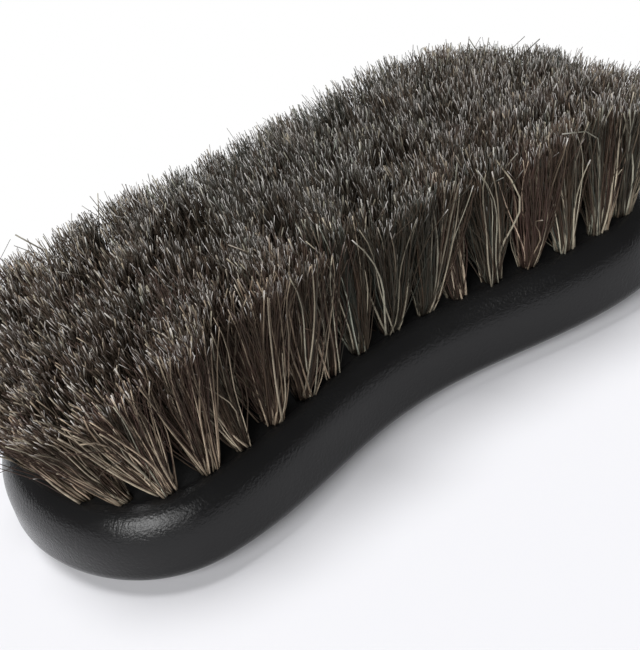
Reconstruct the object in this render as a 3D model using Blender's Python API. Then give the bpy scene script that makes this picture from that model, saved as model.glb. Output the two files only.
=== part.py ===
"""Leather cleaning brush: a waisted wooden block with rows of horsehair tufts set in drilled holes.

The brush lies on its back with the bristles up. X runs along the block, Y across it and Z up.
The origin is under the middle of the block, on the surface that the back rests on.
"""
import math
import random

import bmesh
import bpy
import numpy as np

# Block in plan
BLOCK_LENGTH = 0.160
BULB_WIDTH = 0.0697
WAIST_WIDTH = 0.0533
BULB_SPACING = 0.103
END_FULLNESS = 2.3
OUTLINE_POINTS = 72

# Block in section
BLOCK_THICKNESS = 0.0194
END_RISE = 0.0010
CROWN = 0.0008
TOP_ROUND_IN = 0.0036
TOP_ROUND_DOWN = 0.0072
BOTTOM_ROUND = 0.0062
ROUND_STEPS = 4
LAND_LENGTH = 0.090
LAND_WIDTH = 0.022
BACK_STEPS = 3

# Face and drilled holes
TUFT_MARGIN = 0.0056
HOLE_RADIUS = 0.0021
HOLE_DEPTH = 0.0090
HOLE_SIDES = 6
RIM_WALL = 0.0004
FACE_DEPTH = 0.0016
CLEARANCE = 0.0003

# Tufts
ROW_PITCH = 0.0092
TUFT_PITCH = 0.0098
END_ROW_INSET = 0.0028
STRANDS_PER_TUFT = 4
STRAND_SIDES = 3
STRAND_RADIUS = 0.00055
STRAND_TIP_RADIUS = 0.00032
ROOT_OVERLAP = 0.0005
BRISTLE_LENGTH = 0.0325
TIP_SPREAD = 0.0040
WAIST_LEAN = math.radians(16)
BULB_LEAN = math.radians(10)
SIDE_LEAN_POWER = 3
END_LEAN = math.radians(29)
END_LEAN_POWER = 4
END_TRIM = 0.0025
TIP_SHIFT = 0.0005
TIP_TRIM = 0.0008
SEED = 7

# Colours, with roughness
LACQUER = ((0.022, 0.022, 0.023, 1.0), 0.48)
HORSEHAIR = ((0.050, 0.041, 0.034, 1.0), 0.60)

FACE_TOP = BLOCK_THICKNESS
FACE_INSET = TUFT_MARGIN - HOLE_RADIUS - RIM_WALL


def clear_scene():
    """Remove every object of the open file."""
    for obj in list(bpy.data.objects):
        bpy.data.objects.remove(obj, do_unlink=True)


def make_material(name, finish):
    """A Principled material from a colour and a roughness."""
    colour, roughness = finish
    material = bpy.data.materials.new(name)
    material.use_nodes = True
    shader = material.node_tree.nodes["Principled BSDF"]
    shader.inputs["Base Color"].default_value = colour
    shader.inputs["Roughness"].default_value = roughness
    shader.inputs["Metallic"].default_value = 0.0
    return material


def waisting(x):
    """One at the waist, falling by a cosine to nothing at the widest place of each bulb."""
    along = np.clip(np.abs(x) / (BULB_SPACING / 2), 0.0, 1.0)
    return np.cos(math.pi / 2 * along) ** 2


def half_width(x, inset):
    """Half the width at x of the block's outline, moved in by inset all round.

    The side runs smoothly from the waist to the widest place of each bulb,
    and each end beyond that is a full oval.
    """
    bulb = BULB_WIDTH / 2 - inset
    waist = WAIST_WIDTH / 2 - inset
    end_length = (BLOCK_LENGTH - BULB_SPACING) / 2 - inset
    side = bulb - (bulb - waist) * waisting(x)
    beyond = np.clip((np.abs(x) - BULB_SPACING / 2) / end_length, 0.0, 1.0)
    return side * np.sqrt(1.0 - beyond ** END_FULLNESS)


def outline_ring(inset):
    """Points round the outline moved in by inset, closest together at the two ends."""
    angle = np.arange(OUTLINE_POINTS) * 2 * math.pi / OUTLINE_POINTS
    x = (BLOCK_LENGTH / 2 - inset) * np.cos(angle)
    y = np.sign(np.sin(angle)) * half_width(x, inset)
    y[OUTLINE_POINTS // 2] = 0.0
    y[0] = 0.0
    return np.column_stack([x, y])


def land_ring():
    """Points round the flat oval on the back that the brush rests on."""
    angle = np.arange(OUTLINE_POINTS) * 2 * math.pi / OUTLINE_POINTS
    return np.column_stack([LAND_LENGTH / 2 * np.cos(angle), LAND_WIDTH / 2 * np.sin(angle)])


def block_rings():
    """Rings of the block from the flat on the back, round the edge, to the face."""
    rings = []
    shoulder = outline_ring(BOTTOM_ROUND)
    land = land_ring()
    rise = END_RISE * (2 * outline_ring(0.0)[:, 0] / BLOCK_LENGTH) ** 2
    for step in range(BACK_STEPS):
        out = step / BACK_STEPS
        plan = land + (shoulder - land) * out
        rings.append(np.column_stack([plan, (rise + CROWN) * out ** 2]))
    for step in range(ROUND_STEPS + 1):
        turn = math.pi / 2 * (1 - step / ROUND_STEPS)
        plan = outline_ring(BOTTOM_ROUND * (1 - math.cos(turn)))
        height = rise + CROWN + BOTTOM_ROUND * (1 - math.sin(turn))
        rings.append(np.column_stack([plan, height]))
    for step in range(ROUND_STEPS + 1):
        turn = math.pi / 2 * step / ROUND_STEPS
        plan = outline_ring(TOP_ROUND_IN * (1 - math.cos(turn)))
        height = FACE_TOP - TOP_ROUND_DOWN * (1 - math.sin(turn))
        rings.append(np.column_stack([plan, np.full(OUTLINE_POINTS, height)]))
    return rings


def skin_rings(name, rings):
    """A closed body from rings of equal length, with a flat face at each end."""
    mesh = bmesh.new()
    loops = [[mesh.verts.new(point) for point in ring] for ring in rings]
    for low, high in zip(loops, loops[1:]):
        for i in range(len(low)):
            j = (i + 1) % len(low)
            mesh.faces.new((low[i], low[j], high[j], high[i]))
    mesh.faces.new(list(reversed(loops[0])))
    mesh.faces.new(loops[-1])
    return finish_mesh(name, mesh)


def finish_mesh(name, mesh):
    """Turn a bmesh into a linked object whose faces point out."""
    bmesh.ops.recalc_face_normals(mesh, faces=mesh.faces)
    data = bpy.data.meshes.new(name)
    mesh.to_mesh(data)
    mesh.free()
    obj = bpy.data.objects.new(name, data)
    bpy.context.scene.collection.objects.link(obj)
    return obj


def add_prism(mesh, low, high):
    """Add a closed prism between two polygons of as many points each."""
    bottom = [mesh.verts.new(point) for point in low]
    top = [mesh.verts.new(point) for point in high]
    for i in range(len(bottom)):
        j = (i + 1) % len(bottom)
        mesh.faces.new((bottom[i], bottom[j], top[j], top[i]))
    mesh.faces.new(list(reversed(bottom)))
    mesh.faces.new(top)


def polygon(centre, radius, sides, turn, height):
    """A regular polygon round a point, flat at one height."""
    angle = turn + np.arange(sides) * 2 * math.pi / sides
    x = centre[0] + radius * np.cos(angle)
    y = centre[1] + radius * np.sin(angle)
    return np.column_stack([x, y, np.full(sides, height)])


def hide_cutter(obj):
    """Mark an object as a tool that isn't part of the brush."""
    obj.hide_render = True
    obj.display_type = "WIRE"


def add_boolean(obj, tool, operation):
    """Cut or join another object with the exact solver."""
    modifier = obj.modifiers.new(operation.title(), "BOOLEAN")
    modifier.operation = operation
    modifier.solver = "EXACT"
    modifier.object = tool
    hide_cutter(tool)


def row_places():
    """X of each row, from end to end, with the outer tufts evenly spaced along their own outline."""
    reach = BLOCK_LENGTH / 2 - TUFT_MARGIN - END_ROW_INSET
    x = np.linspace(0.0, reach, 400)
    steps = np.hypot(np.diff(x), np.diff(half_width(x, TUFT_MARGIN)))
    walked = np.concatenate([[0.0], np.cumsum(steps)])
    spaces = math.ceil(2 * walked[-1] / ROW_PITCH)
    places = np.linspace(-walked[-1], walked[-1], spaces + 1)
    return np.sign(places) * np.interp(np.abs(places), walked, x)


def tuft_places(x):
    """Centres of the tufts of the row at x, the outermost ones on the tufts' own outline."""
    reach = float(half_width(x, TUFT_MARGIN))
    count = max(int(2 * reach / TUFT_PITCH) + 1, 2)
    return [(float(x), float(y)) for y in np.linspace(-reach, reach, count)]


def lean_at(x, y):
    """Slope of the hair along X and Y, growing towards the ends and the sides."""
    along = x / row_places()[-1]
    across = y / float(half_width(x, TUFT_MARGIN))
    side_lean = BULB_LEAN + (WAIST_LEAN - BULB_LEAN) * float(waisting(x))
    lean_x = END_LEAN * math.copysign(abs(along) ** END_LEAN_POWER, along)
    lean_y = side_lean * math.copysign(abs(across) ** SIDE_LEAN_POWER, across)
    return math.tan(lean_x), math.tan(lean_y)


def tuft_strands(place, jitter):
    """Root and tip points of one tuft's strands, which fan out from the mouth of the hole."""
    root_circle = HOLE_RADIUS - 2 * STRAND_RADIUS
    strands = []
    for i in range(STRANDS_PER_TUFT):
        turn = math.pi / STRANDS_PER_TUFT + i * 2 * math.pi / STRANDS_PER_TUFT
        around = np.array([math.cos(turn), math.sin(turn)])
        root = np.array(place) + root_circle * around
        shift = np.array([jitter.uniform(-1, 1), jitter.uniform(-1, 1)]) * TIP_SHIFT
        trim = jitter.uniform(0, 1) * TIP_TRIM
        slope_x, slope_y = lean_at(*place)
        trim += END_TRIM * abs(place[0] / row_places()[-1]) ** END_LEAN_POWER
        drawn = 1.0 / math.sqrt(1.0 + slope_x ** 2 + slope_y ** 2)
        height = BRISTLE_LENGTH * drawn - trim
        tip = np.array(place) + np.array([slope_x, slope_y]) * height
        tip = tip + TIP_SPREAD * around + shift
        strands.append((np.append(root, FACE_TOP), np.append(tip, FACE_TOP + height)))
    return strands


def turned(strands):
    """The same strands turned half way round the middle of the brush."""
    half_turn = np.array([-1.0, -1.0, 1.0])
    return [(root * half_turn, tip * half_turn) for root, tip in strands]


def row_tufts(index, places):
    """Each tuft's centre and strands in one row. The brush is alike when turned end for end."""
    opposite = len(places) - 1 - index
    if index > opposite:
        partner = row_tufts(opposite, places)
        return [((-x, -y), turned(strands)) for (x, y), strands in partner]
    jitter = random.Random(SEED * 1000 + index)
    tufts = [(place, tuft_strands(place, jitter)) for place in tuft_places(places[index])]
    if index == opposite:
        half = len(tufts) // 2
        mirrored = [((-x, -y), turned(strands)) for (x, y), strands in tufts[:half]]
        tufts = tufts[:len(tufts) - half] + mirrored[::-1]
    return tufts


def add_strand(mesh, root, tip):
    """Add one tapered strand, whose foot reaches into the slice of the face under it."""
    along = (tip - root) / (tip[2] - root[2])
    foot = root - along * ROOT_OVERLAP
    turn = math.atan2(root[1], root[0])
    low = polygon(foot, STRAND_RADIUS, STRAND_SIDES, turn, foot[2])
    high = polygon(tip, STRAND_TIP_RADIUS, STRAND_SIDES, turn, tip[2])
    add_prism(mesh, low, high)


def slice_outline(index, places):
    """Outline of one row's slice of the face, between its neighbours and the rim."""
    inset = FACE_INSET + CLEARANCE
    end = BLOCK_LENGTH / 2 - inset
    borders = (places[1:] + places[:-1]) / 2
    last = len(places) - 1
    low = -end if index == 0 else borders[index - 1] + CLEARANCE / 2
    high = end if index == last else borders[index] - CLEARANCE / 2
    if index == 0:
        x = high + (low - high) * np.sin(np.linspace(0, math.pi / 2, 9))
    elif index == last:
        x = low + (high - low) * np.sin(np.linspace(0, math.pi / 2, 9))
    else:
        x = np.linspace(low, high, 4)
    y = half_width(x, inset)
    keep = y > CLEARANCE
    x, y = x[keep], y[keep]
    side = np.column_stack([x, y])
    other = np.column_stack([x[::-1], -y[::-1]])
    return np.vstack([side, other])


def make_row(index, places, material):
    """One row: its slice of the face, with the tufts' strands above and their roots below."""
    outline = slice_outline(index, places)
    bottom = FACE_TOP - FACE_DEPTH + CLEARANCE
    levels = (bottom, FACE_TOP)
    rings = [np.column_stack([outline, np.full(len(outline), level)]) for level in levels]
    row = skin_rings("tuft_row_%02d" % (index + 1), rings)
    mesh = bmesh.new()
    root_bottom = FACE_TOP - HOLE_DEPTH + CLEARANCE
    root_radius = HOLE_RADIUS - CLEARANCE
    for place, strands in row_tufts(index, places):
        low = polygon(place, root_radius, HOLE_SIDES, 0.0, root_bottom)
        high = polygon(place, root_radius, HOLE_SIDES, 0.0, bottom + ROOT_OVERLAP / 2)
        add_prism(mesh, low, high)
        for root, tip in strands:
            add_strand(mesh, root, tip)
    hair = finish_mesh("row_hair_%02d" % (index + 1), mesh)
    add_boolean(row, hair, "UNION")
    row.data.materials.append(material)
    return row


def make_block(places, material):
    """The block, with the pocket for the slices and the blind holes for the roots."""
    block = skin_rings("block", block_rings())
    plan = outline_ring(FACE_INSET)
    levels = (FACE_TOP - FACE_DEPTH, FACE_TOP + FACE_DEPTH)
    rings = [np.column_stack([plan, np.full(len(plan), level)]) for level in levels]
    add_boolean(block, skin_rings("face_pocket", rings), "DIFFERENCE")
    mesh = bmesh.new()
    for x in places:
        for place in tuft_places(x):
            low = polygon(place, HOLE_RADIUS, HOLE_SIDES, 0.0, FACE_TOP - HOLE_DEPTH)
            high = polygon(place, HOLE_RADIUS, HOLE_SIDES, 0.0, FACE_TOP + FACE_DEPTH)
            add_prism(mesh, low, high)
    add_boolean(block, finish_mesh("tuft_holes", mesh), "DIFFERENCE")
    block.data.materials.append(material)
    block.data.shade_smooth()
    block.data.set_sharp_from_angle(angle=math.radians(40))
    return block


def main():
    """Build the whole brush."""
    clear_scene()
    lacquer = make_material("black_lacquered_wood", LACQUER)
    hair = make_material("horsehair", HORSEHAIR)
    places = row_places()
    make_block(places, lacquer)
    for index in range(len(places)):
        make_row(index, places, hair)


main()
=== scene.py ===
"""Finish of a leather cleaning brush: a lacquered wooden block and its horsehair tufts.

Everything is in metres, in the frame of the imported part: X along the block, Y across it, Z up,
with the origin under the middle of the block.
"""
import math

import bpy
import numpy as np
from bpy.props import FloatProperty, FloatVectorProperty, IntProperty, PointerProperty
from bpy.types import Operator, Panel, PropertyGroup
from mathutils import Matrix, Vector


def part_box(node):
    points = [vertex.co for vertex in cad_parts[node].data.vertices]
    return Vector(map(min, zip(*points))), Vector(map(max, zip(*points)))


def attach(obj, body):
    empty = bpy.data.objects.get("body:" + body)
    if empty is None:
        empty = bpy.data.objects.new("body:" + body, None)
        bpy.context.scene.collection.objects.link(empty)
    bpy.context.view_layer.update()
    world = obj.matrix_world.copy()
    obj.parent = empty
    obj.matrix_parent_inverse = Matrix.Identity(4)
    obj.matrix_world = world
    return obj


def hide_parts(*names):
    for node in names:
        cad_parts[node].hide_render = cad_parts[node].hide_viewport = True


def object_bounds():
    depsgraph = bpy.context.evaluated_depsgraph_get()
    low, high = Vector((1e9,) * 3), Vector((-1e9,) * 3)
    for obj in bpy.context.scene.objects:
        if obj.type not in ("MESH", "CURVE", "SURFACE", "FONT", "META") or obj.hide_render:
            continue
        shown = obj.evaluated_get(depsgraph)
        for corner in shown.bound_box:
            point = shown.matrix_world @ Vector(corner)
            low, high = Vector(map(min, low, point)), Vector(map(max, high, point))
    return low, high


bl_info = {
    "name": "Leather cleaning brush",
    "version": (1, 0, 0),
    "blender": (4, 5, 0),
    "location": "3D View > Sidebar > Brush",
    "description": "Builds the finished surfaces of a horsehair leather brush over its solid model",
    "category": "Object",
}

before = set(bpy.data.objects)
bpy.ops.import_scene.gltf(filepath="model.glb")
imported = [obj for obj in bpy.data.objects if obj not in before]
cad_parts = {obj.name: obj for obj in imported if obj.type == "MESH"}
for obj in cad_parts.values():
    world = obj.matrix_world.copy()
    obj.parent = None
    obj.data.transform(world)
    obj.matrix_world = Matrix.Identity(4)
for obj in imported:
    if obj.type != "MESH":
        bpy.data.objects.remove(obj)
CAD_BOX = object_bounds()
BLOCK_LOW, BLOCK_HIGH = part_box("block")
ROW_NODES = sorted(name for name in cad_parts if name.startswith("tuft_row_"))
ROOT_BODY = "root"

# How far each end of the finished block lies inside the solid one, and how far the hair may
# pass the low and the high corner of the solid model's box
END_SETBACK = 0.0008
PAST_LOW = (0.0020, 0.0009, 0.0)
PAST_HIGH = (0.0020, 0.0009, 0.0012)

# Points round the block's outline, points of a walk along an outline, and rings of each part
# of the block's surface
OUTLINE_POINTS = 800
OUTLINE_WALK = 4001
ROW_WALK = 400
LAND_RINGS = 4
BACK_RINGS = 9
BACK_EDGE_RINGS = 10
RIM_RINGS = 14
FACE_RINGS = 53

# Share of a hole's radius over which its mouth slopes down, and width of the fade from the bare
# face to the face under the hair
MOUTH_SLOPE = 0.45
UNDER_HAIR_FADE = 0.0015

# Noises of the finishes: waves a metre, detail and roughness
CLOUD_NOISE = (60.0, 3.0, 0.5)
WRINKLE_NOISE = (1700.0, 3.0, 0.6)
GRAIN_NOISE = (2800.0, 2.0, 0.5)
MOTTLE_NOISE = (380.0, 2.0, 0.5)

# Lacquer: shades of its darker and lighter clouds, its painted shade on the face under the hair,
# roughness with what the clouds, the grain and the hair add to it, and the relief of its wrinkle
CLOUD_SHADES = (0.75, 1.35)
UNDER_HAIR_PAINTED_SHADE = 0.4
LACQUER_ROUGHNESS = 0.13
CLOUD_ROUGHNESS = 0.06
GRAIN_ROUGHNESS = 0.06
UNDER_HAIR_ROUGHNESS = 0.55
LACQUER_SPECULAR = 0.30
GRAIN_RELIEF = 0.35
WRINKLE_STRENGTH = 0.42
WRINKLE_HEIGHT = 0.00026

# Hair: places of its five colours on the scale of tones, and what its tint multiplies them by,
# from cool to warm
TONE_PLACES = (0.0, 0.30, 0.58, 0.85, 1.0)
TINTS = [(0.10, (0.52, 0.88, 0.98)), (0.32, (0.76, 0.98, 1.00)), (0.50, (0.96, 1.00, 0.92)),
         (0.68, (1.07, 0.96, 0.84)), (0.92, (1.08, 0.86, 0.92))]

# Hair: where along it the painted shade of its upper part sets in and ends, the share of that
# shade that ends there, and its strength, with what it gains on the inner tufts
PAINTED_SHADE_START = (0.40, 0.80)
PAINTED_SHADE_END = (0.93, 0.98)
PAINTED_SHADE_CLEARED = 0.70
OUTER_PAINTED_SHADE = 0.35
INNER_PAINTED_SHADE = 0.50

# Hair: levels of the noise between its mottles and clean places, and strength of the mottles
MOTTLE_EDGES = (0.30, 0.62)
MOTTLE_SHARE = 0.40

# Hair: where along it the painted shade of its foot ends, the tones over which that shade
# fades, and its strength, then where the frost of the cut end sets in and its strength
FOOT_END = (0.10, 0.60)
FOOT_TONES = (0.35, 0.60)
FOOT_PAINTED_SHADE = 0.35
FROST_START = (0.93, 0.985)
FROST_STRENGTH = 0.85

# Hair: roughness, with what the clean places add to it, and gloss
HAIR_ROUGHNESS = 0.50
MOTTLE_ROUGHNESS = 0.20
HAIR_SPECULAR = 0.14

# Shape of a hair: spans along it, sides round it, how much thinner its tip is than its root,
# size of a wave at the root as a share of that at the tip, and power of the curl
HAIR_SPANS = 8
HAIR_SIDES = 3
TIP_NARROWING = 0.40
WAVE_AT_ROOT = 0.4
CURL_POWER = 4

# Bends of a hair, as shares of its bow: its three waves and its curl, then the shares of each
# along X, Y and Z, and what a bent hair (least and most) and a stray add
WAVE_SIZES = np.array([1.0, 0.50, 0.28, 2.0])
BEND_AXES = (1.0, 1.0, 0.2)
BENT_EXTRA = (0.8, 2.6)
STRAY_EXTRA = 3.5

# Least and most of the usual thickness, what a pale hair adds to it, and how far below the
# face a hair starts
THICKNESS_RANGE = (0.65, 1.20)
PALE_THICKNESS = 0.9
ROOT_DEPTH = 0.0010

# Powers by which the hair changes towards the ends, and leans more towards the sides
END_POWER = 3
SIDE_POWER = 1.3

# Usual wander of a tuft: of its hole in metres, of its slope, and of its width
HOLE_WANDER = 0.0003
LEAN_WANDER = 0.060
WIDTH_WANDER = 0.22

# Locks: how far out they stand and how wide each is, as shares of the tuft's cell, then the
# share of the hairs outside them and how far out those stand
LOCK_REACH = 0.66
LOCK_WIDTH = 0.11
FREE_SHARE = 0.30
FREE_REACH = 0.60

# Share of the way out past the outer tufts that is left
OUTSIDE_REACH = 0.25

# Foot of a tuft: how much of its place a hair keeps there, how far it scatters, how the hairs
# crowd, and how far out they stand in the hole, with what a pale hair adds
FOOT_MIX = 0.5
FOOT_SCATTER = 0.5
FOOT_CROWDING = 0.35
FOOT_REACH = 0.85
PALE_FOOT_REACH = 0.45

# Tips of a tuft: how far out they stand, with what wide and pale hairs add, and how much
# less far at the ends of the brush
TIP_REACH = 0.9
WIDE_REACH = 0.8
PALE_REACH = 0.15
END_CROWDING = 0.2

# Pale hairs of an inner tuft, as a share of those of an outer one
INNER_PALE_SHARE = 0.75

# Cut ends: how far the longest rise above the trim, as a share of their unevenness, then the
# share of broken hairs and the most that they lose, as a share of their length
RAGGED_LEVEL = 0.8
BROKEN_SHARE = 0.10
BROKEN_LENGTH = 0.5

# What changes along the brush, each as the level, curve and slope of along_brush: how many
# hairs are pale, the fan, the tones of the pale and of the dark hairs, and the warmth
PALE_ALONG = (0.62, 0.85, -0.20)
FAN_ALONG = (0.78, 0.17, 0.0)
PALE_TONE_ALONG = (0.0, 0.0, -0.06)
DARK_TONE_ALONG = (0.0, 0.10, 0.04)
WARMTH_ALONG = (0.0, 0.08, -0.12)

# Tones: least and most of a pale hair, most of a dark one and the shape of its draw, and usual
# difference between locks and between tufts
PALE_TONES = (0.60, 1.0)
DARK_TONES = 0.50
DARK_TONE_BETA = (1.0, 3.6)
LOCK_TONE = 0.07
TUFT_TONE = 0.07

# Tints: the one that is neither cool nor warm, what the waist and the +Y side add, usual
# difference between tufts, locks and hairs, and how strongly pale and dark hairs take it
MIDDLE_TINT = 0.5
WAIST_WARMTH = -0.14
SIDE_WARMTH = -0.10
TUFT_TINT = 0.08
LOCK_TINT = 0.15
HAIR_TINT = 0.12
PALE_TINT_SHARE = 0.32
DARK_TINT_SHARE = 1.1

# Power of the draw of a hair's frost, at the middle of the brush
FROST_POWER = 4

# Floor: half its side, and how far behind the brush it starts to turn and has turned white
FLOOR_HALF = 1.6
FLOOR_FADE = (0.03, 0.12)

# Surround: its strength, and what is added where the camera sees it and in reflections
SURROUND = 0.06
SURROUND_SEEN = 0.94
SURROUND_MIRRORED = 0.04

# Camera: width of its sensor in millimetres, and nearest distance that it sees in metres
SENSOR_WIDTH = 36.0
CLIP_START = 0.01

# Lights: name, direction about Z and up from the floor, strength, and width, with the
# directions and widths in degrees
LIGHTS = (("overhead_light", 150, 75, 2.15, 30),
          ("left_light", 211, 26, 2.40, 34),
          ("front_light", 240, 28, 1.00, 36))


def length(name, text, default):
    """A length in metres for the sidebar."""
    return FloatProperty(name=name, description=text, default=default, precision=5,
                         unit="LENGTH", subtype="DISTANCE")


def angle(name, text, degrees):
    """An angle for the sidebar, given in degrees."""
    return FloatProperty(name=name, description=text, default=math.radians(degrees),
                         unit="ROTATION", subtype="ANGLE")


def share(name, text, default):
    """A plain number or share for the sidebar."""
    return FloatProperty(name=name, description=text, default=default, precision=4)


def colour(name, text, default):
    """A colour for the sidebar, in linear red, green and blue."""
    return FloatVectorProperty(name=name, description=text, default=default, size=3,
                               min=0.0, max=1.0, subtype="COLOR")


class BlockSizes(PropertyGroup):
    """Sizes of the wooden block."""

    length: length("Length", "From end to end", BLOCK_HIGH.x - BLOCK_LOW.x - END_SETBACK * 2)
    bulb_width: length("Bulb width", "Widest place of each half", BLOCK_HIGH.y - BLOCK_LOW.y)
    waist_width: length("Waist width", "Width at the middle, where it is gripped", 0.0526)
    thickness: length("Thickness", "From the floor to the face", 0.0194)
    bulb_spacing: length("Bulb spacing", "Between the two widest places", 0.1034)
    end_fullness: share("End fullness", "Power of each end's oval, 2 for an ellipse", 2.3)
    end_rise: length("End rise", "How far the back rises to each end", 0.0010)
    crown: length("Crown", "How far the back rises to its rounded edge", 0.0008)
    top_round_in: length("Top round in", "How far the rounded rim reaches in", 0.0056)
    top_round_down: length("Top round down", "How far the rounded rim reaches down", 0.0090)
    bottom_round_in: length("Bottom round in", "How far the back's edge reaches in", 0.0097)
    bottom_round_up: length("Bottom round up", "How far the back's edge reaches up", 0.0048)
    land_length: length("Land length", "Length of the flat that the back rests on", 0.090)
    land_width: length("Land width", "Width of the flat that the back rests on", 0.022)
    hole_radius: length("Hole radius", "Radius of a hole's worn mouth", 0.0019)
    hole_depth: length("Hole depth", "How deep a hole can be seen", 0.0012)


class HairSizes(PropertyGroup):
    """Sizes and counts of the horsehair."""

    tuft_margin: length("Tuft margin", "From the outline to the middle of an outer tuft", 0.0067)
    end_row_inset: length("End row inset", "From the tufts' own outline to the end row", 0.0028)
    tuft_pitch: length("Tuft pitch", "Most that two tufts of a row are apart", 0.0098)
    bristle_length: length("Bristle length", "From the face to the trimmed ends", 0.0316)
    end_trim: length("End trim", "How much shorter the hair is at the ends", 0.0064)
    waist_lean: angle("Waist lean", "Outward lean of the side tufts at the waist", 16)
    bulb_lean: angle("Bulb lean", "Outward lean of the side tufts at the bulbs", 10)
    end_lean: angle("End lean", "Outward lean of the end rows", 23)
    strands: IntProperty(name="Strands", description="Hairs in one tuft", default=270, min=1)
    root_radius: length("Root radius", "Radius of a tuft where it leaves its hole", 0.0019)
    locks: IntProperty(name="Locks", description="Clumps that a tuft parts into", default=7, min=1)
    least_cell: length("Least cell", "Least width of a tuft at its tips", 0.0080)
    scatter: length("Scatter", "Usual wander of a single tip", 0.0006)
    thickness: length("Thickness", "Usual radius of a hair at its root", 0.00013)
    ragged: length("Ragged", "Usual unevenness of the trimmed ends", 0.0007)
    lock_drop: length("Lock drop", "How much lower some clumps are", 0.0014)
    bow: length("Bow", "Usual bend of a hair", 0.0007)
    pale_share: share("Pale share", "Share of the hairs that are pale and thick", 0.13)
    bent_share: share("Bent share", "Share of the hairs that are strongly bent", 0.05)
    stray_share: share("Stray share", "Share of the outer hairs that arch away", 0.002)
    wide_share: share("Wide share", "Share of the hairs that reach over the next tuft", 0.18)
    seed: IntProperty(name="Seed", description="Start of the random draws", default=11)


class Finishes(PropertyGroup):
    """Colours of the brush."""

    lacquer: colour("Lacquer", "Black lacquer of the block", (0.0074, 0.0074, 0.0076))
    hair_black: colour("Black hair", "Darkest hairs", (0.035, 0.026, 0.019))
    hair_brown: colour("Brown hair", "Dark brown hairs", (0.074, 0.053, 0.040))
    hair_dun: colour("Dun hair", "Middling brown and grey hairs", (0.150, 0.117, 0.090))
    hair_tan: colour("Tan hair", "Light tan hairs", (0.288, 0.244, 0.200))
    hair_grey: colour("Grey hair", "Palest grey hairs", (0.450, 0.388, 0.322))
    cut_end: colour("Cut end", "Frosted look of the cut ends", (0.520, 0.500, 0.480))
    floor: colour("Floor", "Pale floor", (0.778, 0.778, 0.806))


class StageSizes(PropertyGroup):
    """Camera, placed about the brush."""

    azimuth: angle("Azimuth", "Direction of the camera about Z, from +X", 242.62)
    elevation: angle("Elevation", "Height of the camera's direction", 29.40)
    roll: angle("Roll", "Turn of the camera about its own axis", -16.24)
    distance: length("Distance", "From the camera to what it looks at", 0.3097)
    aim_x: length("Aim X", "Where the camera looks, along the block", -0.00727)
    aim_y: length("Aim Y", "Where the camera looks, across the block", -0.00496)
    aim_z: length("Aim Z", "Where the camera looks, above the floor", 0.0194)
    lens: share("Lens", "Focal length in millimetres, for a 36 mm sensor", 81.7)


class Wired:
    """A socket of a material's nodes. Arithmetic on it adds Math nodes."""

    def __init__(self, tree, socket=None):
        self.tree = tree
        self.socket = socket

    def node(self, kind, settings=None, sockets=None, output=0):
        """Add a node, set its settings, then fill its sockets with values or links."""
        made = self.tree.nodes.new(kind)
        for key, value in (settings or {}).items():
            if key == "stops":
                fill_ramp(made.color_ramp, value)
            else:
                setattr(made, key, value)
        for key, value in (sockets or {}).items():
            if isinstance(value, Wired):
                self.tree.links.new(value.socket, made.inputs[key])
            else:
                made.inputs[key].default_value = value
        return Wired(self.tree, made.outputs[output])

    def place(self):
        """The point in the object's own space."""
        return self.node("ShaderNodeTexCoord", output=3)

    def carried(self, name):
        """A number that the mesh carries at each point."""
        return self.node("ShaderNodeAttribute", {"attribute_name": name}, output=2)

    def noise(self, scale, detail, roughness):
        """Noise about this place, of so many waves a metre."""
        return self.node("ShaderNodeTexNoise", {"noise_dimensions": "3D"},
                         {"Vector": self, "Scale": scale, "Detail": detail,
                          "Roughness": roughness})

    def math(self, operation, *values):
        """A Math node of these values."""
        return self.node("ShaderNodeMath", {"operation": operation}, dict(enumerate(values)))

    def __add__(self, other):
        return self.math("ADD", self, other)

    def __radd__(self, other):
        return self.math("ADD", other, self)

    def __rsub__(self, other):
        return self.math("SUBTRACT", other, self)

    def __mul__(self, other):
        return self.math("MULTIPLY", self, other)

    def __rmul__(self, other):
        return self.math("MULTIPLY", other, self)

    def step(self, low, high):
        """Nothing below low, one above high, and smooth between them."""
        return self.node("ShaderNodeMapRange", {"interpolation_type": "SMOOTHSTEP"},
                         {"Value": self, "From Min": low, "From Max": high})

    def mixed(self, first, second):
        """A colour that goes from first to second as this number goes from nothing to one."""
        return self.node("ShaderNodeMix", {"data_type": "RGBA", "blend_type": "MIX"},
                         {0: self, 6: first, 7: second}, output=2)

    def tinted(self, other):
        """This colour multiplied by another."""
        return self.node("ShaderNodeMix", {"data_type": "RGBA", "blend_type": "MULTIPLY"},
                         {0: 1.0, 6: self, 7: other}, output=2)


def fill_ramp(ramp, stops):
    """Give a colour ramp these stops, each a place and a colour."""
    while len(ramp.elements) > 1:
        ramp.elements.remove(ramp.elements[-1])
    for index, (place, tint) in enumerate(stops):
        element = ramp.elements[0] if index == 0 else ramp.elements.new(place)
        element.position = place
        element.color = solid(tint)


def solid(tint, shade=1.0):
    """A colour with full alpha, multiplied by a shade."""
    return (tint[0] * shade, tint[1] * shade, tint[2] * shade, 1.0)


def start_material(name):
    """A material with a Principled shader, and the wiring of its nodes."""
    material = bpy.data.materials.new(name)
    material.use_nodes = True
    tree = material.node_tree
    return material, tree.nodes["Principled BSDF"], Wired(tree)


def plug(wired, shader, name):
    """Lead a varying value into one socket of a shader."""
    wired.tree.links.new(wired.socket, shader.inputs[name])


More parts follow.
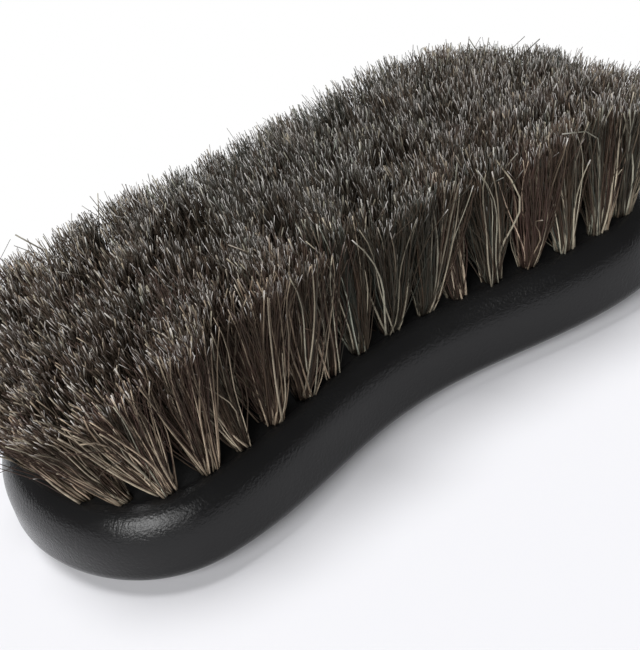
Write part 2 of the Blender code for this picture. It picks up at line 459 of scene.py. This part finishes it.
def lacquer_material(finish):
    """Satin black lacquer, with a fine wrinkle that breaks up its highlight.

    The face under the hair is dull, and darker with painted shade.
    """
    material, shader, wired = start_material("black_lacquer")
    where = wired.place()
    cloud = where.noise(*CLOUD_NOISE)
    wrinkle = where.noise(*WRINKLE_NOISE)
    grain = where.noise(*GRAIN_NOISE)
    under = wired.carried("under_hair")
    dark, light = (solid(finish.lacquer, shade) for shade in CLOUD_SHADES)
    bare = cloud.mixed(dark, light)
    # Painted shade: the face under the hair is darkened in its colour, where the hair shades it
    plug(under.mixed(bare, solid(finish.lacquer, UNDER_HAIR_PAINTED_SHADE)), shader, "Base Color")
    roughness = LACQUER_ROUGHNESS + CLOUD_ROUGHNESS * cloud + GRAIN_ROUGHNESS * grain
    plug(roughness + UNDER_HAIR_ROUGHNESS * under, shader, "Roughness")
    relief = {"Strength": WRINKLE_STRENGTH, "Distance": WRINKLE_HEIGHT,
              "Height": wrinkle + GRAIN_RELIEF * grain}
    plug(wired.node("ShaderNodeBump", None, relief), shader, "Normal")
    shader.inputs["Specular IOR Level"].default_value = LACQUER_SPECULAR
    return material


def hair_material(finish):
    """Horsehair: each hair has its own tone and tint, mottles, painted shade and a frosted cut end.

    The tone goes through five colours, which the tint makes cooler or warmer. Dark mottles all
    along the hair take it towards black, and painted shade darkens it more in its upper part
    below the cut end, more on the inner tufts, and on the dark hairs also at the foot.
    """
    material, shader, wired = start_material("horsehair")
    tone, along = wired.carried("hair_tone"), wired.carried("hair_along")
    frost, inner = wired.carried("hair_frost"), wired.carried("hair_inner")
    colours = (finish.hair_black, finish.hair_brown, finish.hair_dun, finish.hair_tan,
               finish.hair_grey)
    stops = list(zip(TONE_PLACES, colours))
    base = wired.node("ShaderNodeValToRGB", {"stops": stops}, {"Fac": tone})
    tint = wired.node("ShaderNodeValToRGB", {"stops": TINTS},
                      {"Fac": wired.carried("hair_tint")})
    mottle = wired.place().noise(*MOTTLE_NOISE).step(*MOTTLE_EDGES)
    # Painted shade: the hair darkens in its upper part below the cut end, more on the inner tufts
    upper = along.step(*PAINTED_SHADE_START) * (1.0 - PAINTED_SHADE_CLEARED * along.step(*PAINTED_SHADE_END))
    unshaded = 1.0 - (OUTER_PAINTED_SHADE + INNER_PAINTED_SHADE * inner) * upper
    painted_shade_and_mottles = 1.0 - ((1.0 - MOTTLE_SHARE) + MOTTLE_SHARE * mottle) * unshaded
    # Painted shade: the dark hairs darken towards black at their foot
    foot = (1.0 - along.step(*FOOT_END)) * (1.0 - tone.step(*FOOT_TONES))
    painted_shade_and_mottles = painted_shade_and_mottles + (1.0 - painted_shade_and_mottles) * FOOT_PAINTED_SHADE * foot
    shaded_and_mottled = painted_shade_and_mottles.mixed(base.tinted(tint), solid(finish.hair_black))
    cut_end = along.step(*FROST_START) * frost * FROST_STRENGTH
    plug(cut_end.mixed(shaded_and_mottled, solid(finish.cut_end)), shader, "Base Color")
    plug(HAIR_ROUGHNESS + MOTTLE_ROUGHNESS * mottle, shader, "Roughness")
    shader.inputs["Specular IOR Level"].default_value = HAIR_SPECULAR
    return material


def floor_material(finish, away):
    """Pale floor that turns white behind the brush, where the camera sees it."""
    material, shader, wired = start_material("pale_floor")
    shader.inputs["Base Color"].default_value = solid(finish.floor)
    shader.inputs["Roughness"].default_value = 1.0
    shader.inputs["Specular IOR Level"].default_value = 0.0
    reach = wired.node("ShaderNodeVectorMath", {"operation": "DOT_PRODUCT"},
                       {0: wired.place(), 1: away}, output=1)
    seen = wired.node("ShaderNodeLightPath", output=0)
    white = wired.node("ShaderNodeEmission", None, {"Color": (1.0, 1.0, 1.0, 1.0)})
    plain = Wired(wired.tree, shader.outputs[0])
    both = wired.node("ShaderNodeMixShader", None,
                      {0: reach.step(*FLOOR_FADE) * seen, 1: plain, 2: white})
    surface = wired.tree.nodes["Material Output"].inputs["Surface"]
    wired.tree.links.new(both.socket, surface)
    return material


def fill_mesh(name, points, quads, triangles=None, values=None):
    """An object from whole arrays of points and faces, with a number per point for each value."""
    corners = [quads.reshape(-1)]
    sizes = [np.full(len(quads), 4)]
    if triangles is not None:
        corners.append(triangles.reshape(-1))
        sizes.append(np.full(len(triangles), 3))
    corners = np.concatenate(corners).astype(np.int32)
    sizes = np.concatenate(sizes)
    starts = np.concatenate([[0], np.cumsum(sizes)[:-1]]).astype(np.int32)
    mesh = bpy.data.meshes.new(name)
    mesh.vertices.add(len(points))
    mesh.vertices.foreach_set("co", points.astype(np.float32).reshape(-1))
    mesh.loops.add(len(corners))
    mesh.loops.foreach_set("vertex_index", corners)
    mesh.polygons.add(len(sizes))
    mesh.polygons.foreach_set("loop_start", starts)
    for key, numbers in (values or {}).items():
        layer = mesh.attributes.new(key, "FLOAT", "POINT")
        layer.data.foreach_set("value", numbers.astype(np.float32).reshape(-1))
    mesh.update(calc_edges=True)
    mesh.validate()
    mesh.shade_smooth()
    piece = bpy.data.objects.new(name, mesh)
    bpy.context.scene.collection.objects.link(piece)
    return piece


def seat(piece, slot, material, *nodes):
    """Give a finished piece its material and its body, and hide the solids that it stands for; slot
    is not used.
    """
    piece.data.materials.append(material)
    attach(piece, ROOT_BODY)
    if nodes:
        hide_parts(*nodes)


def waisting(x, block):
    """One at the waist, falling by a squared cosine to nothing at each bulb's widest place."""
    along = np.clip(np.abs(x) / (block.bulb_spacing / 2), 0.0, 1.0)
    return np.cos(math.pi / 2 * along) ** 2


def half_width(x, inset, block):
    """Half the width at x of the outline moved in by inset.

    Between the bulbs it is the bulb's half width less a squared cosine, and past them that
    times the square root of one less a power of how far along the end it is.
    """
    bulb = block.bulb_width / 2 - inset
    waist = block.waist_width / 2 - inset
    end_length = (block.length - block.bulb_spacing) / 2 - inset
    side = bulb - (bulb - waist) * waisting(x, block)
    beyond = np.clip((np.abs(x) - block.bulb_spacing / 2) / end_length, 0.0, 1.0)
    return side * np.sqrt(1.0 - beyond ** block.end_fullness)


def walk(x, y):
    """How far each point of a line lies from its first, along the line."""
    return np.concatenate([[0.0], np.cumsum(np.hypot(np.diff(x), np.diff(y)))])


def outline_angles(count, block):
    """Angles of evenly spaced points on the outline, whose X is the half length times a cosine."""
    turn = np.linspace(0.0, math.pi, OUTLINE_WALK)
    x = block.length / 2 * np.cos(turn)
    walked = walk(x, half_width(x, 0.0, block))
    half = np.interp(np.linspace(0.0, walked[-1], count // 2 + 1), walked, turn)
    return np.concatenate([half, 2 * math.pi - half[-2:0:-1]])


def outline(turn, inset, block):
    """Points of the outline moved in by inset, at these angles."""
    x = (block.length / 2 - inset) * np.cos(turn)
    y = np.sign(np.sin(turn)) * half_width(x, inset, block)
    middle = len(turn) // 2
    y[0] = 0.0
    y[middle] = 0.0
    return np.column_stack([x, y])


def row_places(block, hair):
    """X of each row, from end to end, with the outer tufts evenly spaced along their outline."""
    reach = block.length / 2 - hair.tuft_margin - hair.end_row_inset
    x = np.linspace(0.0, reach, ROW_WALK)
    walked = walk(x, half_width(x, hair.tuft_margin, block))
    places = np.linspace(-walked[-1], walked[-1], len(ROW_NODES))
    return np.sign(places) * np.interp(np.abs(places), walked, x)


def tuft_places(x, block, hair):
    """Centres of the tufts of the row at x, the outer ones on the tufts' own outline."""
    reach = float(half_width(x, hair.tuft_margin, block))
    count = max(int(2 * reach / hair.tuft_pitch) + 1, 2)
    y = np.linspace(-reach, reach, count)
    return np.column_stack([np.full(count, x), y])


def block_surface(block, holes):
    """The block as rings about its outline, from the middle of its back to that of its face.

    The back is a flat oval that rises with the square of the way out to the outline. The
    edges are a quarter of an ellipse, below and above. The flats of the back and the face
    are folded rings, and a smooth step takes the face down into each hole.
    """
    turn = outline_angles(OUTLINE_POINTS, block)
    land = np.column_stack([block.land_length / 2 * np.cos(turn),
                            block.land_width / 2 * np.sin(turn)])
    shoulder = outline(turn, block.bottom_round_in, block)
    rise = block.end_rise * (2 * outline(turn, 0.0, block)[:, 0] / block.length) ** 2
    rings = []
    for way in np.linspace(0.0, 1.0, LAND_RINGS + 1)[:-1]:
        rings.append(np.column_stack([folded(land, way), np.zeros(OUTLINE_POINTS)]))
    for way in np.linspace(0.0, 1.0, BACK_RINGS + 1)[:-1]:
        plan = land + (shoulder - land) * way
        rings.append(np.column_stack([plan, (rise + block.crown) * way ** 2]))
    for bend in np.linspace(math.pi / 2, 0.0, BACK_EDGE_RINGS):
        plan = outline(turn, block.bottom_round_in * (1 - math.cos(bend)), block)
        height = rise + block.crown + block.bottom_round_up * (1 - math.sin(bend))
        rings.append(np.column_stack([plan, height]))
    for bend in np.linspace(0.0, math.pi / 2, RIM_RINGS):
        plan = outline(turn, block.top_round_in * (1 - math.cos(bend)), block)
        height = block.thickness - block.top_round_down * (1 - math.sin(bend))
        rings.append(np.column_stack([plan, height - sink(plan, holes, block)]))
    rim = rings[-1][:, :2]
    for way in np.linspace(1.0, 0.0, FACE_RINGS + 1)[1:]:
        plan = folded(rim, way)
        rings.append(np.column_stack([plan, block.thickness - sink(plan, holes, block)]))
    return np.array(rings)


def folded(plan, way):
    """A ring drawn in to the middle line as way goes from one to nothing.

    Y shrinks to nothing and X by a third, so that the last ring's two sides share their points.
    """
    return plan * (2 / 3 + way / 3, way)


def sink(plan, holes, block):
    """How far the holes take the face down at these points."""
    near = np.min(np.hypot(plan[:, None, 0] - holes[None, :, 0],
                           plan[:, None, 1] - holes[None, :, 1]), axis=1)
    slope = block.hole_radius * MOUTH_SLOPE
    inside = np.clip((block.hole_radius - near) / slope, 0.0, 1.0)
    return block.hole_depth * inside * inside * (3 - 2 * inside)


def under_hair(points, block, hair):
    """One on the face among the tufts' feet, falling to nothing at the feet's outer edge."""
    reach = half_width(points[:, 0], hair.tuft_margin - hair.root_radius, block)
    inside = np.clip((reach - np.abs(points[:, 1])) / UNDER_HAIR_FADE, 0.0, 1.0)
    return inside * (points[:, 2] > block.thickness - 2 * block.hole_depth)


def fold_seams(count, ring_count):
    """Point numbers of each ring, where the first and last rings are folded along the middle."""
    numbers = np.arange(ring_count * count).reshape(ring_count, count)
    mirrored = np.minimum(np.arange(count), (count - np.arange(count)) % count)
    numbers[0] = mirrored
    numbers[-1] = (ring_count - 1) * count + mirrored
    return numbers


def ring_faces(numbers):
    """Quads between each ring and the next."""
    here, there = numbers[:-1], numbers[1:]
    quads = np.stack([here, np.roll(here, -1, axis=1), np.roll(there, -1, axis=1), there], -1)
    return quads.reshape(-1, 4)


def drop_unused(points, faces):
    """Leave out the points that no face uses, and renumber the faces."""
    used, renumbered = np.unique(faces.reshape(-1), return_inverse=True)
    return points[used], renumbered.reshape(faces.shape)


def held_in(points, block, hair):
    """The same points, where those past the outer tufts come back to a quarter as far out."""
    reach = row_places(block, hair)[-1]
    x = np.clip(points[..., 0], -reach, reach)
    side = half_width(x, hair.tuft_margin, block)
    y = np.clip(points[..., 1], -side, side)
    inner = np.stack([x, y], -1)
    return inner + (points - inner) * OUTSIDE_REACH


def lean(points, block, hair):
    """Slope of the hair along X and Y, growing by a power towards the ends and the sides."""
    along = points[..., 0] / row_places(block, hair)[-1]
    across = points[..., 1] / half_width(points[..., 0], hair.tuft_margin, block)
    along, across = np.clip(along, -1.0, 1.0), np.clip(across, -1.0, 1.0)
    extra = (hair.waist_lean - hair.bulb_lean) * waisting(points[..., 0], block)
    lean_x = hair.end_lean * np.sign(along) * np.abs(along) ** END_POWER
    lean_y = (hair.bulb_lean + extra) * np.sign(across) * np.abs(across) ** SIDE_POWER
    return np.stack([np.tan(lean_x), np.tan(lean_y)], -1)


def unit(vectors):
    """The same directions, each one long."""
    return vectors / np.linalg.norm(vectors, axis=-1, keepdims=True)


def strand_mesh(name, root, tip, bends, fan, radius, looks):
    """Hairs as three-sided tubes, from arrays of their roots, tips, bends, radii and looks.

    The middle line climbs evenly from root to tip and goes sideways by a power of that, the
    fan, so that the hairs spread early where it is below one. To it comes each bend times a
    sine that grows along it, with one half wave for the first bend, two for the second and so
    on. The last bend curls the tip by a power of the way along. The three sides stand about
    the line, and the radius shrinks evenly to the cut end, which a triangle closes, as one
    closes the root.
    """
    along = np.linspace(0.0, 1.0, HAIR_SPANS + 1)
    waves = np.sin(math.pi * np.arange(1, bends.shape[1])[:, None] * along[None])
    growth = WAVE_AT_ROOT + (1.0 - WAVE_AT_ROOT) * along
    waves = np.vstack([waves * growth, along ** CURL_POWER])
    path = np.stack([along ** fan, along ** fan, along], -1)
    line = root[:, None] + (tip - root)[:, None] * path
    line = inside_box(line + np.einsum("nhk,hs->nsk", bends, waves))
    tangent = unit(np.gradient(line, axis=1))
    side = unit(np.cross(tangent, bends[:, :1]))
    other = np.cross(tangent, side)
    around = np.arange(HAIR_SIDES) * 2 * math.pi / HAIR_SIDES
    width = radius[:, None] * (1.0 - TIP_NARROWING * along)[None]
    ring = (np.cos(around)[None, None, :, None] * side[:, :, None]
            + np.sin(around)[None, None, :, None] * other[:, :, None])
    points = line[:, :, None] + ring * width[:, :, None, None]
    numbers = np.arange(points.size // 3).reshape(-1, HAIR_SPANS + 1, HAIR_SIDES)
    low, high = numbers[:, :-1], numbers[:, 1:]
    quads = np.stack([low, np.roll(low, -1, axis=2), np.roll(high, -1, axis=2), high], -1)
    ends = np.concatenate([numbers[:, 0, ::-1], numbers[:, -1]])
    per_hair = HAIR_SIDES * (HAIR_SPANS + 1)
    values = {key: np.repeat(each, per_hair) for key, each in looks.items()}
    values["hair_along"] = np.tile(np.repeat(along, HAIR_SIDES), len(root))
    return fill_mesh(name, points.reshape(-1, 3), quads.reshape(-1, 4), ends, values)


def inside_box(points):
    """Points kept within the solid model's own box, or close beside and above it."""
    low, high = np.array(CAD_BOX[0]), np.array(CAD_BOX[1])
    return np.clip(points, low - PAST_LOW, high + PAST_HIGH)


def along_brush(drift, level, curve, slope):
    """level + curve * drift ** 2 + slope * drift, with drift from -1 to 1 along the brush."""
    return level + curve * drift ** 2 + slope * drift


def grow_row(index, block, hair, draw):
    """Roots, tips, bends, fan, radii and looks of all the hairs in one row of tufts.

    The tips fill the tuft's own share of the field, as wide as the way to its neighbours,
    and lean as the place that they stand over does, so that the tufts close up at the top.
    """
    rows = row_places(block, hair)
    drift = rows[index] / rows[-1]
    places = tuft_places(rows[index], block, hair)
    low, high = max(index - 1, 0), min(index + 1, len(rows) - 1)
    cell = ((rows[high] - rows[low]) / (high - low), places[1, 1] - places[0, 1])
    places = places + draw.normal(0, HOLE_WANDER, places.shape)
    end_row = index in (0, len(rows) - 1)
    outer = np.isin(np.arange(len(places)), (0, len(places) - 1)) | end_row
    pale, mood, root, offset = part_tufts(places, outer, drift, hair, draw)
    offset = offset * np.maximum(cell, hair.least_cell)
    field = held_in(places[:, None] + offset, block, hair)
    slope = lean(field, block, hair) + draw.normal(0, LEAN_WANDER, (len(places), 1, 2))
    drawn = 1.0 / np.sqrt(1.0 + np.sum(slope ** 2, axis=-1))
    end = np.clip(np.abs(field[..., 0] / rows[-1]), 0.0, 1.0) ** END_POWER
    height = hair.bristle_length * drawn - hair.end_trim * end - cut_short(mood, hair, draw)
    plan = field + slope * height[..., None] + draw.normal(0, hair.scatter, field.shape)
    foot = np.full(pale.shape + (1,), block.thickness - ROOT_DEPTH)
    root = np.concatenate([root, foot], -1)
    tip = np.concatenate([plan, block.thickness + height[..., None]], -1)
    bends = bend_hairs(outer, pale.shape, hair, draw)
    radius = hair.thickness * draw.uniform(*THICKNESS_RANGE, pale.shape)
    radius = radius * (1.0 + PALE_THICKNESS * pale)
    side = places[:, 1:] / half_width(rows[index], hair.tuft_margin, block)
    warm = along_brush(drift, *WARMTH_ALONG) + WAIST_WARMTH * waisting(rows[index], block)
    looks = colour_hairs(pale, mood, drift, warm + SIDE_WARMTH * side, draw)
    looks["hair_inner"] = np.tile(~outer[:, None], hair.strands)
    return (root.reshape(-1, 3), tip.reshape(-1, 3), bends.reshape(-1, 4, 3),
            along_brush(drift, *FAN_ALONG), radius.reshape(-1),
            {key: each.reshape(-1) for key, each in looks.items()})


def part_tufts(places, outer, drift, hair, draw):
    """Which hairs are pale, the moods of their locks, their roots and the offsets of their tips.

    A tuft parts into locks. The hairs of a lock share its three moods, which are how low, how
    pale and how warm it is. Most of them stand at its place, and the others anywhere in the
    tuft. The roots crowd in the hole, and the offsets are shares of the tuft's cell.
    """
    shape = (len(places), hair.strands)
    wide = draw.random(shape + (1,)) < hair.wide_share
    wide = wide + draw.normal(0, WIDTH_WANDER, (shape[0], 1, 1))
    chance = hair.pale_share * along_brush(drift, *PALE_ALONG)
    chance = chance * np.where(outer, 1.0, INNER_PALE_SHARE)
    pale = draw.random(shape) < chance[:, None]
    locks = draw.uniform(-LOCK_REACH, LOCK_REACH, (shape[0], hair.locks, 2))
    moods = draw.normal(0, 1, (shape[0], hair.locks, 3))
    joined = (np.arange(shape[0])[:, None], draw.integers(0, hair.locks, shape))
    free = draw.random(shape + (1,)) < FREE_SHARE
    offset = np.where(free, draw.uniform(-FREE_REACH, FREE_REACH, shape + (2,)), locks[joined])
    offset = offset + draw.normal(0, LOCK_WIDTH, shape + (2,))
    foot = FOOT_MIX * offset + draw.uniform(-FOOT_SCATTER, FOOT_SCATTER, shape + (2,))
    foot = foot / (FOOT_CROWDING + np.abs(foot))
    foot = foot * (FOOT_REACH + PALE_FOOT_REACH * pale[..., None])
    root = places[:, None] + hair.root_radius * foot
    offset = offset * (TIP_REACH + WIDE_REACH * wide + PALE_REACH * pale[..., None])
    offset = offset * (1.0 - END_CROWDING * abs(drift) ** END_POWER)
    return pale, moods[joined], root, offset


def cut_short(mood, hair, draw):
    """How much shorter each hair is than the trim: ragged, broken, or in a low lock."""
    shape = mood.shape[:2]
    short = draw.exponential(hair.ragged, shape) - RAGGED_LEVEL * hair.ragged
    broken = draw.random(shape) < BROKEN_SHARE
    short = short + broken * draw.random(shape) * BROKEN_LENGTH * hair.bristle_length
    return short + hair.lock_drop * np.maximum(mood[..., 0], 0.0)


def bend_hairs(outer, shape, hair, draw):
    """The three waves and the curl of each hair, larger on the bent hairs and the strays."""
    bent = draw.random(shape + (1, 1)) < hair.bent_share
    bent = bent * draw.uniform(*BENT_EXTRA, shape + (1, 1))
    stray = draw.random(shape + (1, 1)) < hair.stray_share * outer[:, None, None, None]
    sizes = hair.bow * WAVE_SIZES[:, None] * (1.0 + bent + STRAY_EXTRA * stray)
    return draw.normal(0, 1, shape + (4, 3)) * BEND_AXES * sizes


def colour_hairs(pale, mood, drift, warm, draw):
    """Tone, tint and frost of each hair, by its lock, its tuft and its place along the brush."""
    shape = pale.shape
    tone = np.where(pale, draw.uniform(*PALE_TONES, shape),
                    DARK_TONES * draw.beta(*DARK_TONE_BETA, shape))
    tone = tone + np.where(pale, along_brush(drift, *PALE_TONE_ALONG),
                           along_brush(drift, *DARK_TONE_ALONG))
    tone = tone + LOCK_TONE * mood[..., 1]
    tone = np.clip(tone + draw.normal(0, TUFT_TONE, (shape[0], 1)), 0.0, 1.0)
    tint = warm + draw.normal(0, TUFT_TINT, (shape[0], 1)) + LOCK_TINT * mood[..., 2]
    tint = tint + draw.normal(0, HAIR_TINT, shape)
    tint = MIDDLE_TINT + tint * np.where(pale, PALE_TINT_SHARE, DARK_TINT_SHARE)
    frost = draw.random(shape) ** (FROST_POWER - drift)
    return {"hair_tone": tone, "hair_tint": tint, "hair_frost": frost}


class BRUSH_OT_make_block(Operator):
    """Build the lacquered wooden block, with the mouths of its drilled holes"""

    bl_idname = "brush.make_block"
    bl_label = "Make block"

    def execute(self, context):
        block, hair = context.scene.brush_block, context.scene.brush_hair
        holes = np.vstack([tuft_places(x, block, hair) for x in row_places(block, hair)])
        rings = block_surface(block, holes)
        faces = ring_faces(fold_seams(rings.shape[1], rings.shape[0]))
        points, faces = drop_unused(rings.reshape(-1, 3), faces)
        values = {"under_hair": under_hair(points, block, hair)}
        piece = fill_mesh("lacquered_block", points, faces, values=values)
        seat(piece, "block", lacquer_material(context.scene.brush_finish), "block")
        return {"FINISHED"}


class BRUSH_OT_make_hair(Operator):
    """Set every row of horsehair tufts into the block"""

    bl_idname = "brush.make_hair"
    bl_label = "Make hair"

    def execute(self, context):
        block, hair = context.scene.brush_block, context.scene.brush_hair
        material = hair_material(context.scene.brush_finish)
        for index, node in enumerate(ROW_NODES):
            draw = np.random.default_rng([hair.seed, index])
            name = "horsehair_%02d" % (index + 1)
            piece = strand_mesh(name, *grow_row(index, block, hair, draw))
            seat(piece, "bristles", material, node)
        return {"FINISHED"}


class BRUSH_OT_lay_stage(Operator):
    """Lay the pale floor and set the lights and the camera"""

    bl_idname = "brush.lay_stage"
    bl_label = "Lay stage"

    def execute(self, context):
        scene = context.scene
        stage = scene.brush_stage
        away = (-math.cos(stage.azimuth), -math.sin(stage.azimuth), 0.0)
        corners = FLOOR_HALF * np.array([(-1, -1, 0), (1, -1, 0), (1, 1, 0), (-1, 1, 0)])
        floor = fill_mesh("floor", corners, np.array([[0, 1, 2, 3]]))
        floor.data.materials.append(floor_material(scene.brush_finish, away))
        light_world(scene)
        for light in LIGHTS:
            add_sun(*light)
        scene.camera = place_camera(stage)
        scene.view_settings.view_transform = "Standard"
        return {"FINISHED"}


def light_world(scene):
    """An even grey surround that the camera itself sees as white."""
    world = bpy.data.worlds.new("surround")
    world.use_nodes = True
    wired = Wired(world.node_tree)
    background = world.node_tree.nodes["Background"]
    seen = wired.node("ShaderNodeLightPath", output=0)
    mirrored = wired.node("ShaderNodeLightPath", output=3)
    plug(SURROUND + SURROUND_SEEN * seen + SURROUND_MIRRORED * mirrored, background, "Strength")
    background.inputs["Color"].default_value = (1.0, 1.0, 1.0, 1.0)
    scene.world = world


def add_sun(name, azimuth, elevation, strength, spread):
    """A wide soft light from one direction, given in degrees."""
    lamp = bpy.data.lights.new(name, "SUN")
    lamp.energy = strength
    lamp.angle = math.radians(spread)
    light = bpy.data.objects.new(name, lamp)
    light.matrix_world = look(math.radians(azimuth), math.radians(elevation), 0.0)
    bpy.context.scene.collection.objects.link(light)


def look(azimuth, elevation, roll):
    """Rotation of something that looks back along a direction given about Z and up from the floor."""
    back = Vector((math.cos(elevation) * math.cos(azimuth),
                   math.cos(elevation) * math.sin(azimuth), math.sin(elevation)))
    right = Vector((0.0, 0.0, 1.0)).cross(back).normalized()
    up = back.cross(right)
    turned_right = right * math.cos(roll) + up * math.sin(roll)
    turned_up = up * math.cos(roll) - right * math.sin(roll)
    return Matrix((turned_right, turned_up, back)).transposed().to_4x4()


def place_camera(stage):
    """The camera of the photograph's view."""
    camera = bpy.data.objects.new("camera", bpy.data.cameras.new("camera"))
    camera.data.sensor_width = SENSOR_WIDTH
    camera.data.lens = stage.lens
    camera.data.clip_start = CLIP_START
    turned = look(stage.azimuth, stage.elevation, stage.roll)
    back = turned.to_3x3().col[2]
    turned.translation = Vector((stage.aim_x, stage.aim_y, stage.aim_z)) + back * stage.distance
    camera.matrix_world = turned
    bpy.context.scene.collection.objects.link(camera)
    return camera


class BRUSH_PT_sidebar(Panel):
    """Buttons and sizes of the leather brush"""

    bl_label = "Leather brush"
    bl_space_type = "VIEW_3D"
    bl_region_type = "UI"
    bl_category = "Brush"

    def draw(self, context):
        for operator in OPERATORS:
            self.layout.operator(operator.bl_idname)
        for name, group in GROUPS.items():
            box = self.layout.box()
            for key in group.__annotations__:
                box.prop(getattr(context.scene, name), key)


GROUPS = {"brush_block": BlockSizes, "brush_hair": HairSizes,
          "brush_finish": Finishes, "brush_stage": StageSizes}
OPERATORS = (BRUSH_OT_lay_stage, BRUSH_OT_make_block, BRUSH_OT_make_hair)


def register():
    for name, group in GROUPS.items():
        bpy.utils.register_class(group)
        setattr(bpy.types.Scene, name, PointerProperty(type=group))
    for kind in OPERATORS + (BRUSH_PT_sidebar,):
        bpy.utils.register_class(kind)


def unregister():
    for kind in OPERATORS + (BRUSH_PT_sidebar,):
        bpy.utils.unregister_class(kind)
    for name, group in GROUPS.items():
        delattr(bpy.types.Scene, name)
        bpy.utils.unregister_class(group)


def main():
    """Build the finished brush on its stage."""
    register()
    bpy.ops.brush.lay_stage()
    bpy.ops.brush.make_block()
    bpy.ops.brush.make_hair()


if __name__ == "__main__":
    main()
